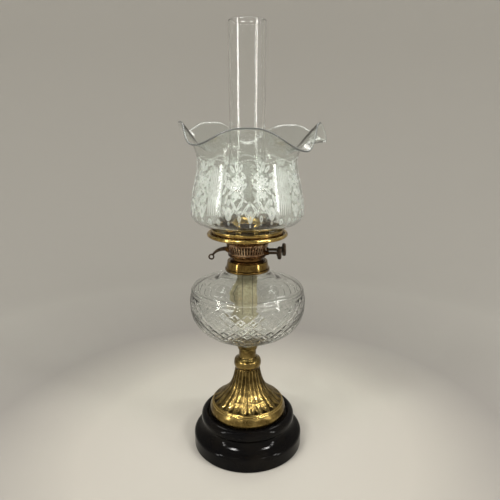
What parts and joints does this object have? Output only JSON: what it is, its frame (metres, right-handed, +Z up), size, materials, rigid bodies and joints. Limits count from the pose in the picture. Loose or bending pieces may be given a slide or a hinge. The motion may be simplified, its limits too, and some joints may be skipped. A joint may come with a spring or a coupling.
{
  "type": "oil lamp",
  "caption": "Tall table oil lamp with a two-tier black base, fluted brass stem, cut glass font, twin-wick burner, glass chimney and a crimped etched shade.",
  "frame": {"origin": "centre of the base's flat foot, on the lamp's axis, at the height of the surface it stands on", "axes": "+Z up along the chimney; the two winder knobs point along +X, the extinguisher lever along -X, and -Y is the front"},
  "size_m": [0.2099, 0.208, 0.6324],
  "materials": {
    "black_glaze": "high gloss glaze",
    "steel": "dull",
    "stem_brass": "embossed, polished and lacquered",
    "plaster": "matte",
    "font_glass": "clear, cut",
    "collar_brass": "polished, aged",
    "burner_brass": "aged",
    "gallery_brass": "polished",
    "copper_brass": "warm satin",
    "bronze": "dark patina",
    "wick_cotton": "woven cotton tape",
    "chimney_glass": "clear, polished",
    "shade_glass": "clear rim, acid-etched body"
  },
  "bodies": {
    "root": {"ceramic_base": "black_glaze", "base_washer": "steel", "tie_nut": "steel", "tie_rod": "steel", "foot_shell": "stem_brass", "stem_knop": "stem_brass", "stem_neck": "stem_brass", "font_cup": "stem_brass", "cup_plaster": "plaster", "glass_font": "font_glass", "collar_plaster": "plaster", "font_collar": "collar_brass"},
    "burner": {"burner_drum": "burner_brass", "burner_deck": "burner_brass", "basket_ring": "burner_brass", "air_basket": "copper_brass", "gallery_cone": "burner_brass", "gallery_plate": "burner_brass", "shade_ring_outer": "gallery_brass", "shade_ring_inner": "gallery_brass", "gallery_web": "burner_brass", "chimney_prongs": "bronze", "burner_dome": "burner_brass", "wick_tube_front": "copper_brass", "wick_tube_rear": "copper_brass", "spindle_bracket": "burner_brass", "spindle_bush_front": "burner_brass", "spindle_bush_rear": "burner_brass", "lever_bracket": "burner_brass", "lever_pin": "burner_brass"},
    "winder_front": {"winder_rod_front": "bronze", "winder_knob_front": "bronze", "wick_wheels_front": "bronze"},
    "winder_rear": {"winder_rod_rear": "bronze", "winder_knob_rear": "bronze", "wick_wheels_rear": "bronze"},
    "wick_front": {"wick_front": "wick_cotton"},
    "wick_rear": {"wick_rear": "wick_cotton"},
    "lever": {"extinguisher_lever": "bronze"},
    "snuffer": {"snuffer_sleeve_front": "copper_brass", "snuffer_sleeve_rear": "copper_brass", "snuffer_link": "copper_brass", "snuffer_bridge": "copper_brass"},
    "chimney": {"chimney": "chimney_glass"},
    "shade": {"shade": "shade_glass"}
  },
  "joints": [
    {"name": "burner_twist", "type": "hinge", "parent": "root", "child": "burner", "pos_m": [0, 0, 0.304], "axis": [0, 0, 1], "range_deg": [0, 30]},
    {"name": "winder_front_turn", "type": "hinge", "parent": "burner", "child": "winder_front", "pos_m": [0.03, -0.01, 0.317], "axis": [1, 0, 0], "range_deg": [-90, 120]},
    {"name": "wick_front_lift", "type": "slide", "parent": "burner", "child": "wick_front", "axis": [0, 0, 1], "range_m": [-0.0063, 0.0084]},
    {"name": "winder_rear_turn", "type": "hinge", "parent": "burner", "child": "winder_rear", "pos_m": [0.03, 0.01, 0.317], "axis": [1, 0, 0], "range_deg": [-120, 90]},
    {"name": "wick_rear_lift", "type": "slide", "parent": "burner", "child": "wick_rear", "axis": [0, 0, 1], "range_m": [-0.0063, 0.0084]},
    {"name": "lever_press", "type": "hinge", "parent": "burner", "child": "lever", "pos_m": [-0.0295, 0, 0.3206], "axis": [0, -1, 0], "range_deg": [0, 20]},
    {"name": "snuffer_rise", "type": "slide", "parent": "burner", "child": "snuffer", "axis": [0, 0, 1], "range_m": [0, 0.005]},
    {"name": "chimney_lift", "type": "slide", "parent": "burner", "child": "chimney", "axis": [0, 0, 1], "range_m": [0, 0.3]},
    {"name": "shade_lift", "type": "slide", "parent": "burner", "child": "shade", "axis": [0, 0, 1], "range_m": [0, 0.3]}
  ],
  "couplings": [
    {"joint": "wick_front_lift", "follows": "winder_front_turn", "m_per_rad": 0.0039},
    {"joint": "wick_rear_lift", "follows": "winder_rear_turn", "m_per_rad": -0.0039},
    {"joint": "snuffer_rise", "follows": "lever_press", "m_per_rad": 0.014}
  ]
}
